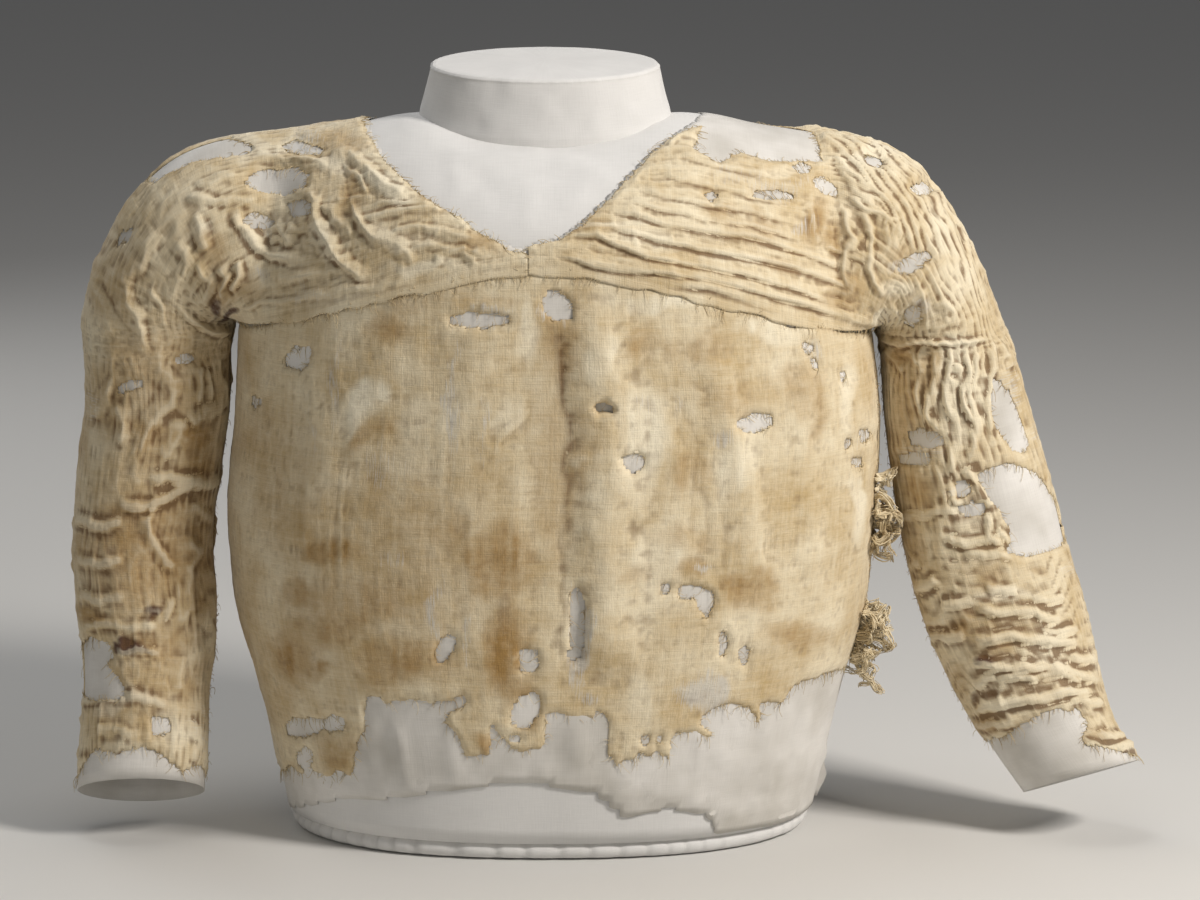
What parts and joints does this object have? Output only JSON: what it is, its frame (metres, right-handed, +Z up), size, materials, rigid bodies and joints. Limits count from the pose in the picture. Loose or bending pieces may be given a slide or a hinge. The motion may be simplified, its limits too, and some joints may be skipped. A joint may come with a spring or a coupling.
{
  "type": "ancient linen dress on a limbless padded dress form",
  "caption": "Torn pleated linen dress with long sleeves and a V neck, lined with a support cloth, filled out on a limbless padded dress form.",
  "frame": {"origin": "centre of the form's flat underside, on the surface that it stands on", "axes": "+Z up through the neck stub, -Y out of the wearer's front, +X towards the wearer's left"},
  "size_m": [0.9988, 0.386, 0.7221],
  "materials": {
    "aged_linen": "matt, worn plain weave",
    "support_cloth": "matt, sheer",
    "padded_cover": "matt knit cover"
  },
  "bodies": {
    "root": {"form": "padded_cover", "form_base_roll": "padded_cover", "lining_skirt": "support_cloth", "linen_skirt": "aged_linen", "lining_yoke_right": "support_cloth", "lining_sleeve_right": "support_cloth", "linen_yoke_sleeve_right": "aged_linen", "lining_yoke_left": "support_cloth", "lining_upper_sleeve_left": "support_cloth", "lining_forearm_left": "support_cloth", "linen_yoke_sleeve_left": "aged_linen", "weft_fringe": "aged_linen"}
  },
  "joints": []
}
